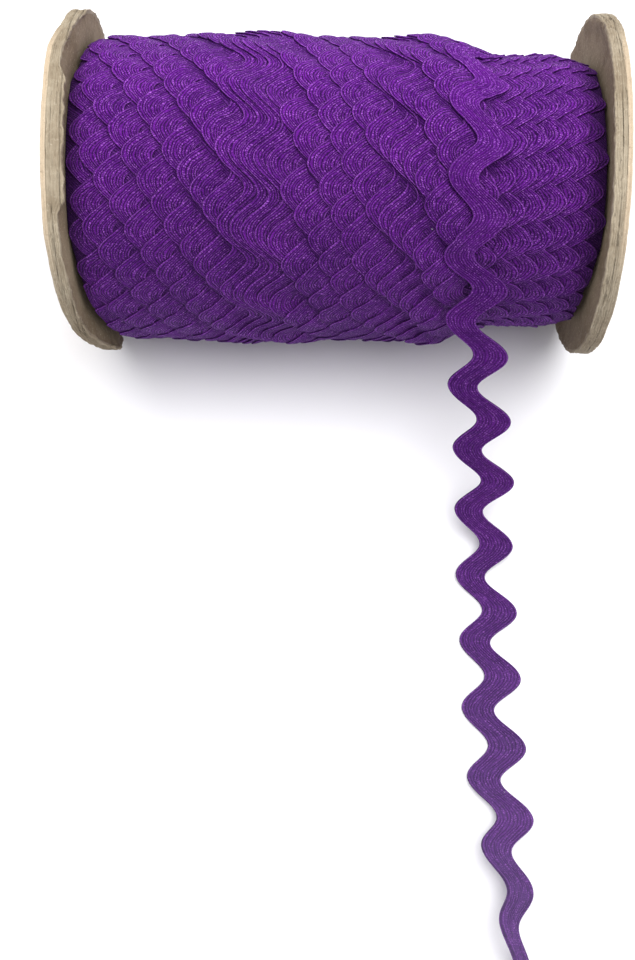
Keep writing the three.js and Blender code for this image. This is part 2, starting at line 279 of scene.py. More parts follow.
def band_mesh(name, points, across, along):
    """A closed mesh swept through rings of points, with a UV map of where each lies on the braid.

    The places across and along the braid are given for each ring, each point or both.
    """
    rings, count = points.shape[:2]
    ring = np.arange(rings - 1)[:, None] * count
    step = np.arange(count)[None, :]
    after = (step + 1) % count
    quads = np.stack([ring + step, ring + count + step, ring + count + after, ring + after], axis=-1)
    faces = quads.reshape(-1, 4).tolist()
    faces.append(list(range(count)))
    faces.append(list(range(rings * count - 1, (rings - 1) * count - 1, -1)))
    mesh = bpy.data.meshes.new(name)
    mesh.from_pydata(points.reshape(-1, 3).tolist(), [], faces)
    loops = np.empty(len(mesh.loops), dtype=np.int32)
    mesh.loops.foreach_get("vertex_index", loops)
    across, along = (np.broadcast_to(part, (rings, count)).ravel()[loops] for part in (across, along))
    layer = mesh.uv_layers.new(name="braid")
    layer.data.foreach_set("uv", np.stack([across, along], axis=-1).astype(np.float32).ravel())
    mesh.polygons.foreach_set("use_smooth", [True] * len(mesh.polygons))
    mesh.update()
    piece = bpy.data.objects.new(name, mesh)
    bpy.context.scene.collection.objects.link(piece)
    return piece


def lean_of(side, angle):
    """How far a flange's rim leans in at an angle, in metres, for numbers and arrays."""
    if side < 0:
        return np.interp(angle, *LEFT_LEAN) * MM
    near = [np.interp(angle + step, *RIGHT_LEAN, period=360) for step in LEAN_EVENED]
    return sum(near) / len(near) * MM


def base_radius(places):
    """The radius of what the turns are wound on, with its shoulders at the flanges."""
    step = smooth_step(places, BASE_STEP_FROM, BASE_STEP_TO)
    radius = UPPER_BASE + (UNDER_BASE - UPPER_BASE) * step + np.interp(places / MM, *FULLNESS) * MM
    for side, (length, fall, power) in ((-1, LEFT_SHOULDER), (1, RIGHT_SHOULDER)):
        room = INNER_HALF_LENGTH - side * places
        radius = radius - fall * np.clip(1 - room / length, 0, 1) ** power
    return radius


def shifted_sum(grid, axis, weights):
    """The grid smoothed along one axis. Round the roll it runs on, and along it its edge is held."""
    reach = len(weights) // 2
    mode = "wrap" if axis == 0 else "edge"
    room = [(reach, reach) if n == axis else (0, 0) for n in (0, 1)]
    padded = np.pad(grid, room, mode=mode)
    size = grid.shape[axis]
    parts = [w * np.take(padded, range(n, n + size), axis=axis) for n, w in enumerate(weights)]
    return sum(parts)


def bell(reach):
    """Weights that fall off to both sides and add up to 1."""
    weights = np.exp(-2 * (np.arange(-reach, reach + 1) / max(reach, 1)) ** 2)
    return weights / weights.sum()


def softened(grid, mask, round_reach, along_reach):
    """The grid smoothed inside the mask alone, and carried a little past its edges."""
    total = grid * mask
    share = mask
    for axis, reach in ((0, round_reach), (1, along_reach)):
        weights = bell(reach)
        total = shifted_sum(total, axis, weights)
        share = shifted_sum(share, axis, weights)
    return np.where(share > 1e-6, total / np.maximum(share, 1e-6), grid)


class Roll:
    """The roll as it is wound: the height of its surface over a grid of angles and places."""

    def __init__(self, thickness):
        self.thickness = thickness
        end = INNER_HALF_LENGTH - GAP
        self.columns = WAVES_ROUND * SAMPLES_PER_WAVE
        self.places = np.arange(-end, end + max(RIGHT_DISH[1]) * MM, PLACE_STEP)
        self.heights = np.tile(base_radius(self.places), (self.columns, 1))
        self.before_last = self.heights  # the surface that the last turn is laid on
        angles = 360 * np.arange(self.columns) / self.columns - 180
        room = np.interp(angles, *DRAWN_IN) * MM
        self.ends = [end - room - np.maximum(lean_of(side, angles), 0) for side in (-1, 1)]
        self.ends[1] += np.interp(angles, *RIGHT_DISH) * MM

    def wind(self, stations, first, last, wobble, peak_shift):
        """Winds a layer through its stations, from turn first to turn last, which may be fractions.

        The peak shift is 0 where the rows of the stations are of right peaks. It gives each sample's
        turn, waves and place, the radii of its section's points, and its left and right edge.
        """
        turn_list, place_list, row_list = (np.array(column, dtype=float) for column in zip(*stations))
        parts = []
        for turn in range(math.floor(first + 0.5), math.floor(last + 0.5) + 1):
            turns = turn - 0.5 + np.arange(self.columns) / self.columns
            places = np.interp(turns, turn_list, place_list) * MM
            places = places + wobble * np.sin(2.1 * turns + 0.6 * np.sin(5.3 * turns))
            rows = WAVES_ROUND * np.interp(turns, turn_list, row_list) / 360
            waves = WAVES_ROUND * turns - rows + peak_shift
            laid = (turns >= first) & (turns <= last)
            self.before_last = self.heights.copy()
            radii, left, right = self.lay(places, waves, laid)
            parts.append([column[laid] for column in (turns, waves, places, radii, left, right)])
        for before, after in zip(parts, parts[1:]):
            self.join(before[3], after[3])
        return [np.concatenate(column) for column in zip(*parts)]

    def lay(self, places, waves, laid):
        """Lays one turn on the roll, and gives the radius of each point of its sections."""
        left, right = braid_edges(waves)
        left = np.clip(places + left, -self.ends[0], self.ends[1])
        right = np.clip(places + right, -self.ends[0], self.ends[1])
        start = max(np.searchsorted(self.places, left.min() - DRAPE_MARGIN), 0)
        end = np.searchsorted(self.places, right.max() + DRAPE_MARGIN)
        at = self.places[start:end][None, :]
        under = self.heights[:, start:end]
        width = (right - left)[:, None]
        across = 2 * (at - left[:, None]) / width - 1
        mask = ((np.abs(across) <= 1) & laid[:, None]).astype(float)
        drape = under
        for _ in range(DRAPE_ROUNDS):
            drape = softened(drape, mask, *DRAPE_REACH)
            drape = np.where(mask > 0, np.maximum(drape, under), drape)
        drape = softened(drape, mask, *LAST_DRAPE_REACH)
        edge = 1 - EDGE_FALL * np.clip(np.abs(across), 0, 1) ** EDGE_POWER
        self.heights[:, start:end] = np.where(mask > 0, drape + self.thickness * edge, under)
        radii = np.empty((self.columns, len(SECTION)))
        for row in range(self.columns):
            spots = [left[row] + (spot + 1) / 2 * (right[row] - left[row]) for spot, _ in SECTION]
            lying = np.interp(spots, self.places[start:end], drape[row])
            radii[row] = lying + self.thickness * np.array([height for _, height in SECTION])
        return radii, left, right

    def crease(self, places, radii, turns):
        """How far points lie below the roll's own smoothed surface, from -1 to 1."""
        smooth = softened(self.heights, np.ones_like(self.heights), *CREASE_REACH)
        columns = np.round((turns + 0.5) * self.columns).astype(int) % self.columns
        cells = np.round((places - self.places[0]) / PLACE_STEP).astype(int)
        level = smooth[columns, np.clip(cells, 0, len(self.places) - 1)]
        return np.clip((level - radii) / CREASE_DEPTH, -1, 1)

    def join(self, before, after):
        """Brings the end of one turn and the start of the next to the same radii."""
        count = min(JOIN_SAMPLES, len(before), len(after))
        fade = smooth_step(np.arange(count), -1, count)[:, None]
        step = (after[0] - before[-1])[None, :]
        before[-count:] += step / 2 * fade
        after[:count] -= step / 2 * fade[::-1]


def round_axis(places, radii, turns):
    """Points round the spool's axis, from arrays of places, radii and turns."""
    angles = 2 * math.pi * turns
    y = AXIS_Y - ROLL_SAG - radii * np.sin(angles)
    z = AXIS_HEIGHT - ROLL_SAG + radii * np.cos(angles)
    return np.stack([places, y, z], axis=-1)


def turns_piece(roll, name, layer, first, last):
    """One stretch of a wound layer as a piece, with how deep each point lies in a crease."""
    keep = (layer[0] >= first) & (layer[0] <= last)
    turns, waves, _, radii, left, right = (column[keep] for column in layer)
    share = (np.array([spot for spot, _ in SECTION]) + 1) / 2
    across_places = left[:, None] + share * (right - left)[:, None]
    piece = band_mesh(name, round_axis(across_places, radii, turns[:, None]), share, waves[:, None])
    # The crease depth becomes painted shade and light in the braid's material.
    crease = roll.crease(across_places, radii, turns[:, None])
    layer = piece.data.attributes.new(name="crease", type="FLOAT", domain="POINT")
    layer.data.foreach_set("value", crease.astype(np.float32).ravel())
    return piece


def inner_turns(roll):
    """What shows of the turns underneath, pressed up between the outer ones, as one closed body."""
    inside = softened(roll.heights, np.ones_like(roll.heights), *FILL_REACH) - FILL_DEPTH
    places, heights = roll.places[::FILL_STEP], inside[:, ::FILL_STEP]
    turns = -0.5 + np.arange(roll.columns) / roll.columns
    low, high = (-roll.ends[0][:, None], roll.ends[1][:, None])
    spots = np.clip(np.broadcast_to(places, heights.shape), low, high)
    points = round_axis(spots, heights, turns[:, None]).transpose(1, 0, 2)[:, ::-1]
    waves = WAVES_ROUND * turns[::-1][None, :]
    slant = 2 * (SWING + PEAK_WIDENING) * waves / DOWN_STROKE_SHARE
    return band_mesh("inner_turns", points, (places[:, None] - slant) / (2 * HALF_WIDTH), waves)


def finish_piece(piece, node, material):
    """Gives a finished piece its material and its place in the frame, and hides the part it replaces."""
    piece.data.materials.clear()
    piece.data.materials.append(material)
    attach(piece, "root")
    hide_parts(node)


# Nodes


def join_socket(tree, value, socket):
    """Sets a socket to a value, or joins it to another node's output."""
    if isinstance(value, bpy.types.NodeSocket):
        tree.links.new(value, socket)
    else:
        socket.default_value = value


def add_node(tree, kind, values=None, **settings):
    """Adds a node with its settings, and fills its sockets by name or number."""
    node = tree.nodes.new(kind)
    for name, value in settings.items():
        setattr(node, name, value)
    for name, value in (values or {}).items():
        join_socket(tree, value, node.inputs[name])
    return node


def reckon(tree, operation, *values):
    """A sum on one, two or three values."""
    numbers = dict(enumerate(values))
    return add_node(tree, "ShaderNodeMath", numbers, operation=operation).outputs[0]


def remap(tree, value, low, high, new_low=0.0, new_high=1.0):
    """A value's range moved to another, and held there."""
    values = {0: value, 1: low, 2: high, 3: new_low, 4: new_high}
    return add_node(tree, "ShaderNodeMapRange", values, interpolation_type="SMOOTHSTEP").outputs[0]


def blend_colours(tree, share, first, second):
    """One colour laid over another."""
    values = {0: share, 6: first, 7: second}
    return add_node(tree, "ShaderNodeMix", values, data_type="RGBA").outputs[2]


def cloudy(tree, vector, scale, detail, roughness):
    """Soft noise from 0 to 1."""
    values = {"Vector": vector, "Scale": scale, "Detail": detail, "Roughness": roughness}
    return add_node(tree, "ShaderNodeTexNoise", values).outputs["Fac"]


def scaled_vector(tree, vector, scale):
    """A vector times another."""
    values = {0: vector, 1: scale}
    return add_node(tree, "ShaderNodeVectorMath", values, operation="MULTIPLY").outputs[0]


def dimmed(tree, colour, share):
    """A colour times a share of the light."""
    values = {0: colour, "Scale": share}
    return add_node(tree, "ShaderNodeVectorMath", values, operation="SCALE").outputs[0]


def new_group(name, inputs, outputs):
    """A shader node group with its inputs and outputs, which are (name, socket type, default)."""
    group = bpy.data.node_groups.new(name, "ShaderNodeTree")
    for label, kind, default in inputs:
        socket = group.interface.new_socket(name=label, in_out="INPUT", socket_type=kind)
        if default is not None:
            socket.default_value = default
    for label, kind in outputs:
        group.interface.new_socket(name=label, in_out="OUTPUT", socket_type=kind)
    return group, group.nodes.new("NodeGroupInput"), group.nodes.new("NodeGroupOutput")


def use_group(tree, group, values):
    """Places a node group in a material with its own values."""
    node = tree.nodes.new("ShaderNodeGroup")
    node.node_tree = group
    for name, value in values.items():
        join_socket(tree, value, node.inputs[name])
    return node


def braid_yarns_group():
    """The braid's ribs and slanting yarns, from its UV map: heights, grooves and edge yarns."""
    name = "braid_yarns"
    if name in bpy.data.node_groups:
        return bpy.data.node_groups[name]
    value = "NodeSocketFloat"
    inputs = [("Across", value, 0.5), ("Along", value, 0.0), ("Ribs", value, 1.0), ("Yarns", value, 1.0)]
    outputs = [("Height", value), ("Groove", value), ("Edge", value), ("Yarn", value), ("Line", value)]
    tree, given, out = new_group(name, inputs, outputs)
    flat = add_node(tree, "ShaderNodeCombineXYZ", {0: given.outputs["Across"], 1: given.outputs["Along"]})
    sway = remap(tree, cloudy(tree, flat.outputs[0], 4.0, 4.0, 0.65), 0.25, 0.75, -0.045, 0.045)
    swayed = reckon(tree, "ADD", given.outputs["Across"], sway)
    across = reckon(tree, "MULTIPLY", swayed, given.outputs["Ribs"])
    inside = reckon(tree, "FRACT", across)
    rib = reckon(tree, "FLOOR", across)
    rise = reckon(tree, "SINE", reckon(tree, "MULTIPLY", inside, math.pi))
    rise = reckon(tree, "POWER", reckon(tree, "MAXIMUM", rise, 0.0), 0.7)
    odd = reckon(tree, "MULTIPLY_ADD", reckon(tree, "MODULO", rib, 2.0), 2.0, -1.0)
    slant = reckon(tree, "MULTIPLY", odd, inside)
    run = reckon(tree, "MULTIPLY_ADD", given.outputs["Along"], given.outputs["Yarns"], slant)
    yarn = reckon(tree, "SINE", reckon(tree, "MULTIPLY", reckon(tree, "FRACT", run), math.pi))
    stitch = add_node(tree, "ShaderNodeCombineXYZ", {0: rib, 1: reckon(tree, "FLOOR", run)})
    chance = add_node(tree, "ShaderNodeTexWhiteNoise", {"Vector": stitch.outputs[0]}).outputs["Value"]
    steady = add_node(tree, "ShaderNodeTexWhiteNoise", {"W": rib}, noise_dimensions="1D").outputs["Value"]
    uneven = reckon(tree, "MULTIPLY_ADD", chance, 0.5, reckon(tree, "MULTIPLY_ADD", steady, 0.3, 0.2))
    yarn = reckon(tree, "MULTIPLY", reckon(tree, "MULTIPLY", yarn, rise), uneven)
    height = reckon(tree, "MULTIPLY_ADD", yarn, 0.35, reckon(tree, "MULTIPLY", rise, 0.65))
    groove = remap(tree, rise, 0.9, 0.25)
    middle = reckon(tree, "ABSOLUTE", reckon(tree, "SUBTRACT", given.outputs["Across"], 0.5))
    edge = remap(tree, middle, 0.485, 0.5)
    line = reckon(tree, "MULTIPLY", remap(tree, middle, 0.452, 0.468), remap(tree, middle, 0.492, 0.478))
    sockets = {"Height": height, "Groove": groove, "Edge": edge, "Yarn": yarn, "Line": line}
    for label, socket in sockets.items():
        tree.links.new(socket, out.inputs[label])
    return tree


def lint_group():
    """Specks of pale lint and the uneven dye of the yarn, from Object coordinates."""
    name = "lint_and_dye"
    if name in bpy.data.node_groups:
        return bpy.data.node_groups[name]
    value = "NodeSocketFloat"
    inputs = [("Place", "NodeSocketVector", None), ("Amount", value, 0.5)]
    group, given, out = new_group(name, inputs, [("Lint", value), ("Dye", value)])
    cells = {"Vector": given.outputs["Place"], "Scale": 520.0}
    specks = add_node(group, "ShaderNodeTexVoronoi", cells, feature="F1")
    near = remap(group, specks.outputs["Distance"], 0.14, 0.04)
    chance = add_node(group, "ShaderNodeSeparateColor", {"Color": specks.outputs["Color"]}).outputs[0]
    few = remap(group, chance, reckon(group, "SUBTRACT", 1.0, given.outputs["Amount"]), 1.0)
    lint = reckon(group, "MULTIPLY", near, few)
    dye = cloudy(group, given.outputs["Place"], 90.0, 5.0, 0.6)
    group.links.new(lint, out.inputs["Lint"])
    group.links.new(dye, out.inputs["Dye"])
    return group


def braid_material(name, colours, ribs, rib_depth, lint_amount, low_shade, painted_haze):
    """The dyed braid: its ribs, slanting yarns, edge yarns and lint, and a painted haze of bounce light
    towards its cut end.

    Painted shade makes it darker in its grooves, along its edges, in the creases, near the flanges, and
    low on the roll and off it. Painted light makes it lighter over the top and on the turns' raised
    edges, and painted highlights light its stitches and edge yarns.
    """
    material = bpy.data.materials.new(name)
    material.use_nodes = True
    tree = material.node_tree
    shader = tree.nodes["Principled BSDF"]
    place = add_node(tree, "ShaderNodeTexCoord").outputs["Object"]
    flat = add_node(tree, "ShaderNodeUVMap", uv_map="braid").outputs["UV"]
    split = add_node(tree, "ShaderNodeSeparateXYZ", {0: flat})
    braid = {"Across": split.outputs[0], "Along": split.outputs[1]}
    braid |= {"Ribs": float(ribs), "Yarns": float(YARNS_IN_A_WAVE)}
    yarns = use_group(tree, braid_yarns_group(), braid)
    lint = use_group(tree, lint_group(), {"Place": place, "Amount": lint_amount})
    dark, plain, pale, bright = colours
    colour = blend_colours(tree, remap(tree, lint.outputs["Dye"], 0.3, 0.7), plain, pale)
    # Painted shade in the grooves between the ribs, deeper where the ribs are deeper.
    grooved = reckon(tree, "MULTIPLY", yarns.outputs["Groove"], min(1.0, rib_depth / RIB_DEPTH))
    colour = blend_colours(tree, grooved, colour, dark)
    fuzz = cloudy(tree, place, 1300.0, 4.0, 0.75)
    grain = cloudy(tree, place, 3400.0, 2.0, 0.6)
    height = reckon(tree, "MULTIPLY_ADD", fuzz, 0.8, yarns.outputs["Height"])
    mottled = remap(tree, fuzz, 0.35, 0.65, 0.0, 0.45)
    colour = blend_colours(tree, mottled, colour, dark)
    # Painted highlights: the stitches on the ribs take the yarn light colour, unevenly with the grain.
    lit = reckon(tree, "MULTIPLY", yarns.outputs["Yarn"], remap(tree, grain, 0.42, 0.64, 0.35, 1.5))
    colour = blend_colours(tree, remap(tree, lit, 0.15, 1.15, 0.0, 0.92), colour, bright)
    # A painted highlight along each edge yarn.
    line = reckon(tree, "MULTIPLY", yarns.outputs["Line"], remap(tree, fuzz, 0.35, 0.65, 0.0, 0.5))
    colour = blend_colours(tree, line, colour, bright)
    # Painted shadow along the braid's very edges.
    colour = blend_colours(tree, reckon(tree, "MULTIPLY", yarns.outputs["Edge"], 0.5), colour, dark)
    colour = blend_colours(tree, lint.outputs["Lint"], colour, LINT_COLOUR)
    # Painted shade in the creases between the turns, and painted light where their edges stand up.
    crease = add_node(tree, "ShaderNodeAttribute", attribute_name="crease").outputs["Fac"]
    shaded = remap(tree, crease, -0.7, 1.0, 1.16, 0.76)
    colour = dimmed(tree, colour, shaded)
    parts = add_node(tree, "ShaderNodeSeparateXYZ", {0: place})
    out = reckon(tree, "SUBTRACT", AXIS_Y, parts.outputs[1])
    # Painted shade: darker near the flanges and low on the roll and off it, a little lighter over the
    # top.
    painted_flange_shade = remap(tree, reckon(tree, "ABSOLUTE", parts.outputs[0]), 48.5 * MM, 53.5 * MM, 1.0, 0.45)
    painted_shade = reckon(tree, "MULTIPLY", remap(tree, out, -15 * MM, 38 * MM, 1.04, low_shade), painted_flange_shade)
    colour = dimmed(tree, colour, painted_shade)
    # A painted haze of bounce light, greying the braid towards its cut end.
    painted_haze_share = remap(tree, out, 30 * MM, REACH, 0.0, painted_haze)
    colour = blend_colours(tree, painted_haze_share, colour, PAINTED_HAZE_COLOUR)
    tree.links.new(colour, shader.inputs["Base Color"])
    bump = add_node(tree, "ShaderNodeBump", {"Strength": 1.0, "Distance": rib_depth, "Height": height})
    tree.links.new(bump.outputs["Normal"], shader.inputs["Normal"])
    roughness = remap(tree, yarns.outputs["Yarn"], 0.0, 1.0, 0.8, 0.55)
    tree.links.new(roughness, shader.inputs["Roughness"])
    shader.inputs["Sheen Weight"].default_value = 0.08
    shader.inputs["Sheen Roughness"].default_value = 0.45
    shader.inputs["Sheen Tint"].default_value = SHEEN_TINT
    shader.inputs["Specular IOR Level"].default_value = 0.12
    return material


def round_spool_group():
    """Places on the spool as arc, radius and depth: round the axis, out from it and along it."""
    name = "round_the_spool"
    if name in bpy.data.node_groups:
        return bpy.data.node_groups[name]
    value = "NodeSocketFloat"
    inputs = [("Place", "NodeSocketVector", None)]
    outputs = [("Arc", value), ("Radius", value), ("Depth", value), ("Angle", value)]
    group, given, out = new_group(name, inputs, outputs)
    split = add_node(group, "ShaderNodeSeparateXYZ", {0: given.outputs["Place"]})
    forward = reckon(group, "SUBTRACT", AXIS_Y, split.outputs[1])
    up = reckon(group, "SUBTRACT", split.outputs[2], AXIS_HEIGHT)
    angle = reckon(group, "ARCTAN2", forward, up)
    squares = reckon(group, "MULTIPLY_ADD", forward, forward, reckon(group, "MULTIPLY", up, up))
    radius = reckon(group, "SQRT", squares)
    depth = reckon(group, "SUBTRACT", reckon(group, "ABSOLUTE", split.outputs[0]), INNER_HALF_LENGTH)
    group.links.new(reckon(group, "MULTIPLY", angle, FLANGE_RADIUS), out.inputs["Arc"])
    group.links.new(radius, out.inputs["Radius"])
    group.links.new(depth, out.inputs["Depth"])
    group.links.new(angle, out.inputs["Angle"])
    return group


def board_material(name, pale, brown, peach, part, cracked):
    """Pressed board for one part of a flange: "rim", "face" or "outer".

    On the rim the plies part in long dark cracks, as far as cracked says, and the faces have a faint
    grain. The outer ply is peach-coloured, and its edge has browned except at the front.
    """
    material = bpy.data.materials.new(name)
    material.use_nodes = True
    tree = material.node_tree
    shader = tree.nodes["Principled BSDF"]
    place = add_node(tree, "ShaderNodeTexCoord").outputs["Object"]
    spool = use_group(tree, round_spool_group(), {"Place": place})
    speckle = cloudy(tree, place, 1500.0, 4.0, 0.75)
    stain = cloudy(tree, place, 120.0, 4.0, 0.6)
    if part == "rim":
        arc = reckon(tree, "MULTIPLY", spool.outputs["Arc"], 0.04)
        parts = {0: arc, 1: spool.outputs["Depth"], 2: spool.outputs["Radius"]}
        along = add_node(tree, "ShaderNodeCombineXYZ", parts).outputs[0]
        layers = cloudy(tree, along, 2100.0, 4.0, 0.65)
        cracks = remap(tree, layers, 0.38, 0.33)
        waver = reckon(tree, "MULTIPLY", cloudy(tree, along, 260.0, 3.0, 0.6), 5.0)
        plies = reckon(tree, "MULTIPLY_ADD", spool.outputs["Depth"], PLY_WAVES, waver)
        parted = remap(tree, reckon(tree, "PINGPONG", plies, 1.0), 0.3, 0.0)
        patches = remap(tree, cloudy(tree, along, 500.0, 3.0, 0.6), 0.45, 0.6)
        parted = reckon(tree, "MULTIPLY", parted, patches)
        cracks = reckon(tree, "MAXIMUM", reckon(tree, "MULTIPLY", cracks, 0.6 * cracked), parted)
        cracks = reckon(tree, "MULTIPLY", cracks, cracked)
        fibres = cloudy(tree, along, 3600.0, 4.0, 0.75)
    else:
        upright = scaled_vector(tree, place, (1.0, 1.0, 0.12))
        layers = cloudy(tree, upright, 900.0, 3.0, 0.6)
        cracks = remap(tree, layers, 0.32, 0.22, 0.0, 0.6)
        fibres = cloudy(tree, upright, 2600.0, 2.0, 0.6)
    colour = blend_colours(tree, remap(tree, stain, 0.35, 0.65), brown, pale)
    colour = blend_colours(tree, remap(tree, fibres, 0.55, 0.7, 0.0, 0.6), colour, pale)
    colour = blend_colours(tree, remap(tree, fibres, 0.47, 0.35, 0.0, 0.55), colour, FIBRE_COLOUR)
    peachy = 0.0
    if part == "outer":
        front = remap(tree, spool.outputs["Angle"], -0.5, -0.2)
        front = reckon(tree, "MULTIPLY", front, remap(tree, spool.outputs["Angle"], 1.2, 0.7))
        face = remap(tree, spool.outputs["Radius"], 0.99 * FLANGE_RADIUS, 0.96 * FLANGE_RADIUS)
        peachy = reckon(tree, "MULTIPLY", reckon(tree, "MAXIMUM", front, face), 0.8)
        colour = blend_colours(tree, peachy, colour, peach)
    colour = blend_colours(tree, remap(tree, speckle, 0.55, 0.75, 0.0, 0.5), colour, SPECK_COLOUR)
    colour = blend_colours(tree, remap(tree, speckle, 0.45, 0.3, 0.0, 0.35), colour, PALE_SPECK_COLOUR)
    # Painted shade: the board grows darker towards the bottom of each flange, at its front and its back.
    front = remap(tree, spool.outputs["Angle"], 0.5, 1.9, 1.0, LOW_BOARD_SHADE)
    back = remap(tree, spool.outputs["Angle"], -math.pi, -1.7, LOW_BOARD_SHADE, 1.0)
    low = reckon(tree, "MINIMUM", front, back)
    colour = dimmed(tree, colour, low)
    cracks = reckon(tree, "MULTIPLY", cracks, reckon(tree, "SUBTRACT", 1.0, peachy))
    colour = blend_colours(tree, reckon(tree, "MULTIPLY", cracks, 0.5), colour, CRACK_COLOUR)
    tree.links.new(colour, shader.inputs["Base Color"])
    height = reckon(tree, "MULTIPLY_ADD", fibres, 0.3, reckon(tree, "MULTIPLY", speckle, 0.3))
    height = reckon(tree, "SUBTRACT", height, cracks)
    bump = add_node(tree, "ShaderNodeBump", {"Strength": 1.0, "Distance": 0.5 * MM, "Height": height})
    tree.links.new(bump.outputs["Normal"], shader.inputs["Normal"])
    tree.links.new(remap(tree, speckle, 0.2, 0.8, 0.8, 0.95), shader.inputs["Roughness"])
    shader.inputs["Specular IOR Level"].default_value = 0.2
    return material


def shade(colour, share):
    """A colour made darker and a little browner, as painted shade."""
    return (*(part * share * tint for part, tint in zip(colour, BROWNING)), 1.0)


# Pieces


def deselect_all():
    """Leaves object mode and selects nothing."""
    if bpy.context.object and bpy.context.object.mode != "OBJECT":
        bpy.ops.object.mode_set(mode="OBJECT")
    bpy.ops.object.select_all(action="DESELECT")


def turned_disc(name, stations, vertices):
    """A round closed form on the spool's axis, drawn out from a small disc through stations.

    Each station is (place along the axis, radius).
    """
    deselect_all()
    place, radius = stations[0]
    bpy.ops.mesh.primitive_circle_add(
        vertices=vertices,
        radius=radius,
        fill_type="TRIFAN",
        location=(place, AXIS_Y, AXIS_HEIGHT),
        rotation=(0, math.pi / 2, 0),
    )
    piece = bpy.context.object
    piece.name = piece.data.name = name
    bpy.ops.object.transform_apply(location=True, rotation=True, scale=True)
    bpy.ops.object.mode_set(mode="EDIT")
    bpy.ops.mesh.select_mode(type="EDGE")
    bpy.ops.mesh.select_all(action="SELECT")
    bpy.ops.mesh.region_to_loop()
    for next_place, next_radius in stations[1:]:
        bpy.ops.mesh.extrude_edges_move(TRANSFORM_OT_translate={"value": (next_place - place, 0, 0)})
        ratio = next_radius / radius
        centre = (next_place, AXIS_Y, AXIS_HEIGHT)
        bpy.ops.transform.resize(value=(1, ratio, ratio), center_override=centre)
        place, radius = next_place, next_radius
    bpy.ops.mesh.merge(type="CENTER")
    bpy.ops.mesh.select_all(action="SELECT")
    bpy.ops.mesh.normals_make_consistent(inside=False)
    bpy.ops.object.mode_set(mode="OBJECT")
    bpy.ops.object.origin_set(type="ORIGIN_CURSOR")
    return piece


def flange_stations(side):
    """A flange's profile from the middle of its inner face, over its plies to its outer face."""
    stations = [(0.0, share) for share in FACE_SHARES]
    ply = FLANGE_THICKNESS / PLIES
    stations += [((number + part) * ply, share) for number in range(PLIES) for part, share in PLY_POINTS]
    stations.append((FLANGE_THICKNESS - LAST_EDGE, GROOVE_SHARE))
    stations += [(FLANGE_THICKNESS, share) for share in reversed(FACE_SHARES)]
    return [(side * (INNER_HALF_LENGTH + depth), share * FLANGE_RADIUS) for depth, share in stations]


def worn(depth, forward, up, seed):
    """How much of the rim has chipped and frayed away at a spot of the flange."""
    deep, wide, most = CHIPS
    chipped = max(0.0, noise.noise((depth * deep + seed, forward * wide, up * wide)) + 0.05) * most
    deep, wide, most = FRAYS
    frayed = max(0.0, noise.noise((depth * deep + seed, forward * wide + 5, up * wide))) * most
    return chipped + frayed


def swollen(angle, forward, up, swelling, seed):
    """How far the rim has swollen inwards at an angle, unevenly."""
    if not RIM_SWELL_FROM < angle < RIM_SWELL_TO:
        return 0.0
    rise = float(smooth_step(angle, RIM_SWELL_FROM, RIM_SWELL_FROM + SWELL_ENDS[0]))
    fall = float(smooth_step(angle, RIM_SWELL_TO, RIM_SWELL_TO - SWELL_ENDS[1]))
    run, uneven = SWELL_NOISE
    return swelling * rise * fall * (1 + uneven * noise.noise((forward * run, up * run, seed)))


def weather_flange(piece, side, swelling, seed):
    """Leans the flange, swells its rim, frays its plies and presses it flat where it stands."""
    mesh = piece.data
    for vertex in mesh.vertices:
        place, y, z = vertex.co
        forward, up = AXIS_Y - y, z - AXIS_HEIGHT
        radius = math.hypot(forward, up)
        share = radius / FLANGE_RADIUS
        if share < HUB_SHARE:
            continue
        angle = math.degrees(math.atan2(forward, up))
        depth = side * place - INNER_HALF_LENGTH
        rim = float(smooth_step(share, *RIM_WEAR))
        foot = float(smooth_step(180 - abs(angle), FLAT_HALF_ANGLE, FLAT_HALF_ANGLE + FOOT_BLEND))
        ratio = 1.0
        if share > WORN_SHARE:
            ratio = 1 - worn(depth, forward, up, seed) * rim * foot / radius
        inner = 1 - float(smooth_step(depth, 0, 0.8 * FLANGE_THICKNESS))
        inwards = swollen(angle, forward, up, swelling, seed) * rim
        deep, wide, most = RAGGED
        inwards += rim * rim * most * noise.noise((forward * wide, up * wide, depth * deep + seed))
        wide, most = FINE_RAGGED
        inwards += rim * rim * most * noise.noise((forward * wide, up * wide, seed))
        if side < 0:
            inwards -= LEFT_RIM_THINNING * rim
        else:
            dish = float(np.interp(angle, *RIGHT_DISH)) * MM
            inwards -= dish * (1 - float(smooth_step(share, *DISH_EDGE)))
        lean = float(lean_of(side, angle)) * share**LEAN_POWER
        place = side * (INNER_HALF_LENGTH + depth - lean - inwards * inner)
        height = max(AXIS_HEIGHT + up * ratio, 0.0)
        vertex.co = (place, AXIS_Y - forward * ratio, height)
    mesh.update()


def make_flange(side, name, node, swelling, seed, materials):
    """One flange with its rim and face materials."""
    piece = turned_disc(name, flange_stations(side), FLANGE_SIDES)
    finish_piece(piece, node, materials[0])
    for material in materials[1:]:
        piece.data.materials.append(material)
    for polygon in piece.data.polygons:
        x, y, z = polygon.center
        depth = side * x - INNER_HALF_LENGTH
        on_rim = math.hypot(y - AXIS_Y, z - AXIS_HEIGHT) > RIM_SHARE * FLANGE_RADIUS
        polygon.material_index = 2 if depth > OUTER_PLY_DEPTH else int(on_rim)
        polygon.use_smooth = True
    weather_flange(piece, side, swelling, seed)
    return piece


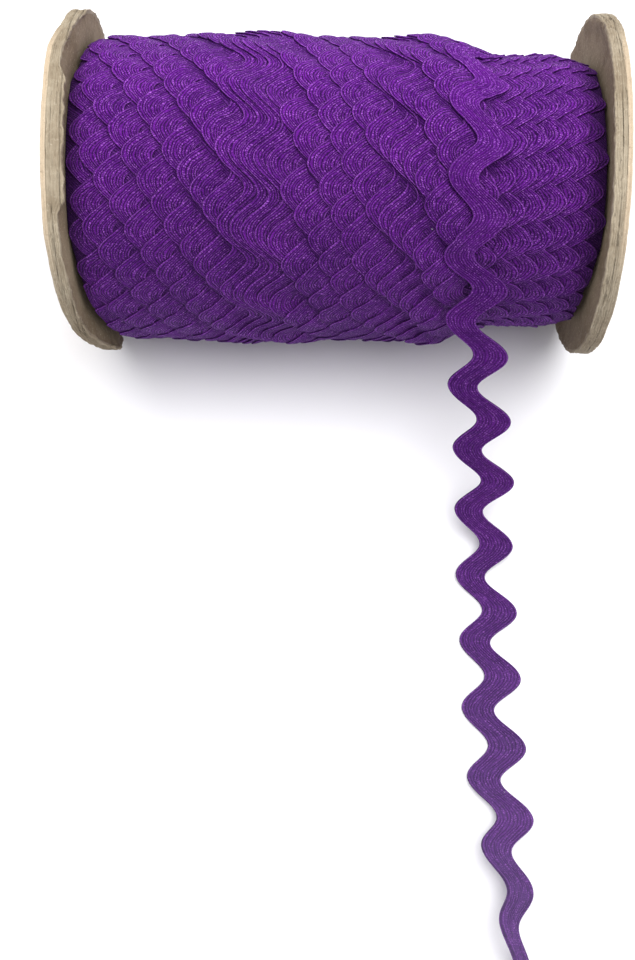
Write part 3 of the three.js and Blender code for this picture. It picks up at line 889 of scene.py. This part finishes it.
def strand_line(radius, thickness):
    """The loose end's middle line: at each distance along, its way out, its height and its slope."""
    leaving = math.radians(LEAVING_ANGLE)
    low = thickness / 2
    leave_out = ROLL_SAG + radius * math.sin(leaving)
    leave_up = AXIS_HEIGHT - ROLL_SAG + radius * math.cos(leaving)
    bend_drop = LANDING_BEND * (1 - math.cos(leaving))
    drop = (leave_up - low - bend_drop) / math.sin(leaving)
    bend_out = leave_out + drop * math.cos(leaving)
    landing = bend_out + LANDING_BEND * math.sin(leaving)
    round_roll = radius * leaving
    drop_end = round_roll + drop
    bend_end = drop_end + LANDING_BEND * leaving

    def at(along):
        if along < round_roll:
            angle = along / radius
            out = ROLL_SAG + radius * math.sin(angle)
            return out, AXIS_HEIGHT - ROLL_SAG + radius * math.cos(angle), angle
        if along < drop_end:
            part = along - round_roll
            return leave_out + part * math.cos(leaving), leave_up - part * math.sin(leaving), leaving
        if along < bend_end:
            slope = leaving - (along - drop_end) / LANDING_BEND
            out = bend_out + LANDING_BEND * (math.sin(leaving) - math.sin(slope))
            return out, low + LANDING_BEND * (1 - math.cos(slope)), slope
        return landing + along - bend_end, low, 0.0

    return at, bend_end + REACH - landing


def loose_section(ribs):
    """The loose end's section: a share across and a share of the thickness for each point.

    Its ribs are modelled, with their tops and the grooves between them.
    """
    top = [(2 * (rib + part) / ribs - 1, height) for rib in range(ribs) for part, height in RIB_POINTS]
    right_edge = [(-spot, height) for spot, height in reversed(LOOSE_EDGE)]
    return LOOSE_EDGE + top + right_edge + LOOSE_UNDERSIDE


def lying_on(roll, points, spots, undersides):
    """Lifts the loose end's points wherever it would sink into the turns that it lies on."""
    forward = AXIS_Y - ROLL_SAG - points[:, :, 1]
    up = points[:, :, 2] - AXIS_HEIGHT + ROLL_SAG
    radii = np.hypot(forward, up)
    turns = np.arctan2(forward, up) / (2 * math.pi)
    columns = np.round((turns + 0.5) * roll.columns).astype(int) % roll.columns
    cells = np.round((points[:, :, 0] - roll.places[0]) / PLACE_STEP).astype(int)
    bed = roll.before_last[columns, np.clip(cells, 0, len(roll.places) - 1)]
    sunk = np.clip(bed - radii + undersides, 0, None) * (turns < BEDDED_TO / 360)
    grid = np.linspace(-1, 1, BEDDING_SPOTS)
    order = np.argsort(spots, kind="stable")
    needed = np.array([np.interp(grid, spots[order], row[order]) for row in sunk])
    lifted = needed
    for _ in range(BEDDING_ROUNDS):
        lifted = np.maximum(evened(lifted, *BEDDING_REACH), needed)
    lifted = evened(lifted, *LAST_BEDDING_REACH)
    lift = np.array([np.interp(spots, grid, row) for row in lifted])
    points[:, :, 1] -= lift * forward / radii
    points[:, :, 2] += lift * up / radii
    return points


def evened(values, rows, columns):
    """A grid of values, each averaged with its neighbours up to so many rows and columns away."""
    padded = np.pad(values, ((rows, rows), (columns, columns)), mode="edge")
    windows = np.lib.stride_tricks.sliding_window_view(padded, (2 * rows + 1, 2 * columns + 1))
    return windows.mean(axis=(2, 3))


def straight_ring(centre, slope, twist, reach, heights):
    """A ring of the loose end that is straight across, at its slope and turned by its twist."""
    across = np.array([math.cos(twist), 0, -math.sin(twist)])
    upright = np.array(
        [math.sin(twist), -math.sin(slope) * math.cos(twist), math.cos(slope) * math.cos(twist)]
    )
    return centre + reach[:, None] * across + heights[:, None] * upright


def make_loose_end(roll, layer, settings, material):
    """The loose end, from behind the top of the roll to its twisted cut end."""
    turns, waves, places, radii = layer[:4]
    wound, loose = settings.thickness, settings.loose_thickness
    on_roll = turns >= LAST_TURN + LOOSE_FROM / 360
    laid_angle = (turns[on_roll] - LAST_TURN) * 360
    tops = np.array(SECTION[:TOP_POINTS])
    lying = radii[on_roll][:, :TOP_POINTS] - wound * tops[:, 1]
    laid_radius = lying.mean(axis=1) + loose / 2
    radius = float(np.interp(RESTING_ANGLE, laid_angle, laid_radius)) + RESTING_LIFT
    at, end = strand_line(radius, loose)
    start = radius * math.radians(LOOSE_FROM)
    count = int((end - start) / WAVE_LENGTH * LOOSE_SAMPLES_PER_WAVE)
    section = loose_section(settings.ribs)
    spots = np.array([spot for spot, _ in section])
    heights = np.array([height - 0.5 for _, height in section]) * loose
    rings, along_waves, undersides = [], [], []
    leave_waves = float(np.interp(LEAVING_ANGLE - 0.01, laid_angle, waves[on_roll]))
    leave_along = radius * math.radians(LEAVING_ANGLE)
    laid_places = places[on_roll]
    for number in range(count + 1):
        along = start + (end - start) * number / count
        out, up, slope = at(along)
        angle = math.degrees(along / radius)
        if along < leave_along:
            wave = float(np.interp(angle, laid_angle, waves[on_roll]))
            wanted = float(np.interp(angle, laid_angle, laid_radius))
            lift = (wanted - radius) * (1 - float(smooth_step(angle, LOWER_FROM, LEAVING_ANGLE)))
            middle = float(np.interp(angle, laid_angle, laid_places))
        else:
            drawn = SPAN_WAVES * float(smooth_step(along, leave_along, leave_along + SPAN_LENGTH))
            wave = leave_waves + (along - leave_along) / WAVE_LENGTH + drawn
            lift = 0.0
            middle = float(np.interp(out / MM, DRIFT_OUT, DRIFT_PLACE)) * MM
        drift = float(np.interp(out / MM, DRIFT_OUT, DRIFT_PLACE)) * MM
        middle = middle + (drift - middle) * float(smooth_step(angle, 0, LEAVING_ANGLE))
        twist = math.radians(TWIST_END) * float(smooth_step(out, TWIST_START, REACH))
        left, right = braid_edges(np.array(wave))
        rise = TWISTED_HEIGHT * math.sin(twist) + loose / 2 * (math.cos(twist) - 1)
        outward = np.array([0, -math.sin(slope), math.cos(slope)])
        centre = np.array([middle, AXIS_Y - out, up + max(rise, 0.0)]) + outward * lift
        spread = SPREAD * float(smooth_step(out, SPREAD_FROM, SPREAD_TO))
        calm = 1 - spread / (SWING + PEAK_WIDENING)
        middle_line = float(left + right) / 2 * calm
        reach = middle_line + spots * (float(right - left) / 2 + spread)
        ring = straight_ring(centre, slope, twist, reach, heights)
        settle = float(smooth_step(angle, SETTLE_FROM, SETTLE_TO))
        if settle < 1:
            thick = wound + (loose - wound) * settle
            row = min(np.searchsorted(laid_angle, angle), len(lying) - 1)
            bed = np.interp(spots, tops[:, 0], lying[row])
            laid = round_axis(middle + reach, bed + (heights / loose + 0.5) * thick, angle / 360)
            ring = laid + (ring - laid) * settle
            thick = thick + (loose - thick) * settle
        else:
            thick = loose
        undersides.append((heights / loose + 0.5) * thick)
        rings.append(ring)
        along_waves.append(wave)
    points = lying_on(roll, np.array(rings), spots, np.array(undersides))
    points[:, :, 2] = np.maximum(points[:, :, 2], 0.0)
    piece = band_mesh("loose_braid", points, (spots + 1) / 2, np.array(along_waves)[:, None])
    finish_piece(piece, "loose_end", material)
    return piece


def make_roll(settings):
    """Winds both layers and makes their pieces, and gives the roll and its top layer."""
    roll = Roll(settings.thickness)
    under = roll.wind(UNDER_LAYER, *UNDER_SPAN, UNDER_WOBBLE, 0.0)
    first, left_end, middle_end = TOP_SPAN
    last = LAST_TURN + LEAVING_ANGLE / 360
    top = roll.wind(TOP_LAYER, first, last, TOP_WOBBLE, DOWN_STROKE_SHARE)
    look = (settings.ribs, settings.rib_depth, settings.lint, ROLL_LOW_SHADE, 0.0)
    material = braid_material("wound_ric_rac", settings.colours(), *look)
    loose_from = LAST_TURN + LOOSE_FROM / 360
    stretches = [
        ("under_turns", under, *UNDER_SPAN),
        ("left_turns", top, first, left_end),
        ("middle_turns", top, left_end, middle_end),
        ("right_turns", top, middle_end, loose_from),
    ]
    for name, layer, start, end in stretches:
        piece = turns_piece(roll, name, layer, start, end)
        finish_piece(piece, "wound_roll", material)
    finish_piece(inner_turns(roll), "wound_roll", material)
    return roll, top


# Settings


class RicRacSettings(bpy.types.PropertyGroup):
    """What a user would change on the braid."""

    # The groove colour is painted shade in the grooves and along the braid's edges, and darkens the yarn
    # at random where it is fuzzy.
    dark: FloatVectorProperty(
        name="Groove colour",
        description="Colour between the ribs of the braid",
        subtype="COLOR",
        size=3,
        default=(0.028, 0.001, 0.066),
    )
    plain: FloatVectorProperty(
        name="Dye colour",
        description="Colour of the braid's yarn",
        subtype="COLOR",
        size=3,
        default=(0.102, 0.004, 0.225),
    )
    pale: FloatVectorProperty(
        name="Pale dye colour",
        description="Colour of the yarn where the dye took less",
        subtype="COLOR",
        size=3,
        default=(0.152, 0.01, 0.305),
    )
    # The yarn light is painted highlight on the stitches and along the edge yarns.
    bright: FloatVectorProperty(
        name="Yarn light",
        description="Colour of the stitches that catch the light",
        subtype="COLOR",
        size=3,
        default=(0.42, 0.125, 0.66),
    )
    ribs: IntProperty(
        name="Ribs",
        description="How many ribs run side by side along the braid",
        default=11,
        min=3,
        max=20,
    )
    rib_depth: FloatProperty(
        name="Rib depth",
        description="How deep the grooves between the ribs are",
        unit="LENGTH",
        default=RIB_DEPTH,
        min=0.0,
        max=1 * MM,
    )
    thickness: FloatProperty(
        name="Wound thickness",
        description="Thickness of the braid where it is wound tight",
        unit="LENGTH",
        default=0.42 * MM,
        min=0.2 * MM,
        max=1.2 * MM,
    )
    loose_thickness: FloatProperty(
        name="Loose thickness",
        description="Thickness of the braid where it lies loose",
        unit="LENGTH",
        default=1.1 * MM,
        min=0.4 * MM,
        max=2 * MM,
    )
    lint: FloatProperty(
        name="Lint",
        description="Share of the braid's surface that has caught pale lint",
        subtype="FACTOR",
        default=0.016,
        min=0.0,
        max=1.0,
    )
    # The Dust setting sets how strong the painted haze of bounce light is towards the cut end.
    painted_haze: FloatProperty(
        name="Dust",
        description="How much dust the cut end has taken up",
        subtype="FACTOR",
        default=0.13,
        min=0.0,
        max=1.0,
    )

    def colours(self):
        return tuple((*colour, 1.0) for colour in (self.dark, self.plain, self.pale, self.bright))


class BoardSettings(bpy.types.PropertyGroup):
    """What a user would change on the flanges."""

    pale: FloatVectorProperty(
        name="Board colour",
        description="Colour of the clean board",
        subtype="COLOR",
        size=3,
        default=(0.43, 0.365, 0.27),
    )
    brown: FloatVectorProperty(
        name="Stained colour",
        description="Colour of the board where it has darkened",
        subtype="COLOR",
        size=3,
        default=(0.31, 0.25, 0.175),
    )
    peach: FloatVectorProperty(
        name="Outer ply colour",
        description="Colour of the outermost ply",
        subtype="COLOR",
        size=3,
        default=(0.62, 0.50, 0.36),
    )
    cracks: FloatProperty(
        name="Cracks",
        description="How far the plies have parted along the rims",
        subtype="FACTOR",
        default=1.0,
        min=0.0,
        max=1.0,
    )
    swelling: FloatProperty(
        name="Swelling",
        description="How far the left flange's near rim has swollen inwards",
        unit="LENGTH",
        default=1.5 * MM,
        min=0.0,
        max=2 * MM,
    )


class StageSettings(bpy.types.PropertyGroup):
    """The light that the spool is shown in."""

    lamp: FloatProperty(
        name="Lamp strength",
        description="Strength of the soft lamp over the back of the spool",
        default=3.8,
        min=0.0,
    )
    sky: FloatProperty(
        name="Room strength",
        description="Strength of the light from all round",
        default=0.58,
        min=0.0,
    )


# Operators and panel


class RICRAC_OT_stage(bpy.types.Operator):
    """Sets up the camera, the floor and the lights"""

    bl_idname = "ricrac.stage"
    bl_label = "Set up the stage"

    def execute(self, context):
        scene = context.scene
        settings = scene.ricrac_stage
        camera = bpy.data.objects.new("camera", bpy.data.cameras.new("camera"))
        scene.collection.objects.link(camera)
        tilt = math.radians(90 - CAMERA_ELEVATION)
        turn = Matrix.Rotation(tilt, 4, "X") @ Matrix.Rotation(math.radians(CAMERA_ROLL), 4, "Z")
        camera.matrix_world = Matrix.Translation(CAMERA_PLACE) @ turn
        camera.data.lens = LENS
        camera.data.clip_start = 0.01
        scene.camera = camera
        deselect_all()
        bpy.ops.mesh.primitive_plane_add(size=FLOOR_SIZE, location=(0, 0, 0))
        floor = context.object
        floor.name = "floor"
        material = bpy.data.materials.new("pale_floor")
        material.use_nodes = True
        shader = material.node_tree.nodes["Principled BSDF"]
        shader.inputs["Base Color"].default_value = FLOOR_COLOUR
        shader.inputs["Roughness"].default_value = 0.9
        floor.data.materials.append(material)
        world = scene.world or bpy.data.worlds.new("room")
        scene.world = world
        world.use_nodes = True
        background = world.node_tree.nodes["Background"]
        background.inputs["Color"].default_value = SKY_COLOUR
        background.inputs["Strength"].default_value = settings.sky
        lamp = bpy.data.objects.new("lamp", bpy.data.lights.new("lamp", "SUN"))
        scene.collection.objects.link(lamp)
        lamp.data.energy = settings.lamp
        lamp.data.angle = math.radians(LAMP_ANGLE)
        lamp.rotation_euler = Vector(LAMP_FROM).to_track_quat("Z", "Y").to_euler()
        scene.view_settings.view_transform = "Standard"
        return {"FINISHED"}


class RICRAC_OT_braid(bpy.types.Operator):
    """Winds the roll and draws off its loose end"""

    bl_idname = "ricrac.braid"
    bl_label = "Wind the ric rac"

    def execute(self, context):
        settings = context.scene.ricrac_braid
        roll, top = make_roll(settings)
        look = (LOOSE_RIB_SHARE * settings.rib_depth, LOOSE_LINT_SHARE * settings.lint, LOOSE_LOW_SHADE)
        material = braid_material(
            "loose_ric_rac", settings.colours(), settings.ribs, *look, settings.painted_haze
        )
        loose = make_loose_end(roll, top, settings, material)
        return {"FINISHED"}


class RICRAC_OT_flanges(bpy.types.Operator):
    """Turns the two flanges of pressed board"""

    bl_idname = "ricrac.flanges"
    bl_label = "Make the flanges"

    def execute(self, context):
        settings = context.scene.ricrac_board
        cracks = settings.cracks
        colours = [(*colour, 1.0) for colour in (settings.pale, settings.brown, settings.peach)]
        # Painted shade: the flanges' inner faces get darker, browner copies of the board's colours.
        shaded = [shade(colour, FACE_SHADE) for colour in colours]
        face = board_material("board_face", *shaded, "face", cracks)
        left_rim = board_material("left_rim", *colours, "rim", LEFT_RIM_CRACKS * cracks)
        right_rim = board_material("right_rim", *colours, "rim", cracks)
        outer = board_material("outer_ply", *colours, "outer", cracks)
        left, right = (face, left_rim, outer), (face, right_rim, outer)
        make_flange(-1, "left_flange", "flange_left", settings.swelling, LEFT_SEED, left)
        make_flange(1, "right_flange", "flange_right", 0.0, RIGHT_SEED, right)
        return {"FINISHED"}


class RICRAC_PT_panel(bpy.types.Panel):
    """Lists the steps that build the spool"""

    bl_idname = "RICRAC_PT_panel"
    bl_label = "Spool of ric rac"
    bl_space_type = "VIEW_3D"
    bl_region_type = "UI"
    bl_category = "Ric rac"

    def draw(self, context):
        for step in STEPS:
            self.layout.operator(step.bl_idname)
        scene = context.scene
        for settings in (scene.ricrac_braid, scene.ricrac_board, scene.ricrac_stage):
            for name in settings.__annotations__:
                self.layout.prop(settings, name)


STEPS = [RICRAC_OT_stage, RICRAC_OT_braid, RICRAC_OT_flanges]
CLASSES = [RicRacSettings, BoardSettings, StageSettings, *STEPS, RICRAC_PT_panel]


def register():
    for item in CLASSES:
        bpy.utils.register_class(item)
    bpy.types.Scene.ricrac_braid = PointerProperty(type=RicRacSettings)
    bpy.types.Scene.ricrac_board = PointerProperty(type=BoardSettings)
    bpy.types.Scene.ricrac_stage = PointerProperty(type=StageSettings)


def unregister():
    del bpy.types.Scene.ricrac_stage
    del bpy.types.Scene.ricrac_board
    del bpy.types.Scene.ricrac_braid
    for item in reversed(CLASSES):
        bpy.utils.unregister_class(item)


def main():
    register()
    bpy.ops.ricrac.stage()
    bpy.ops.ricrac.braid()
    bpy.ops.ricrac.flanges()


if __name__ == "__main__":
    main()
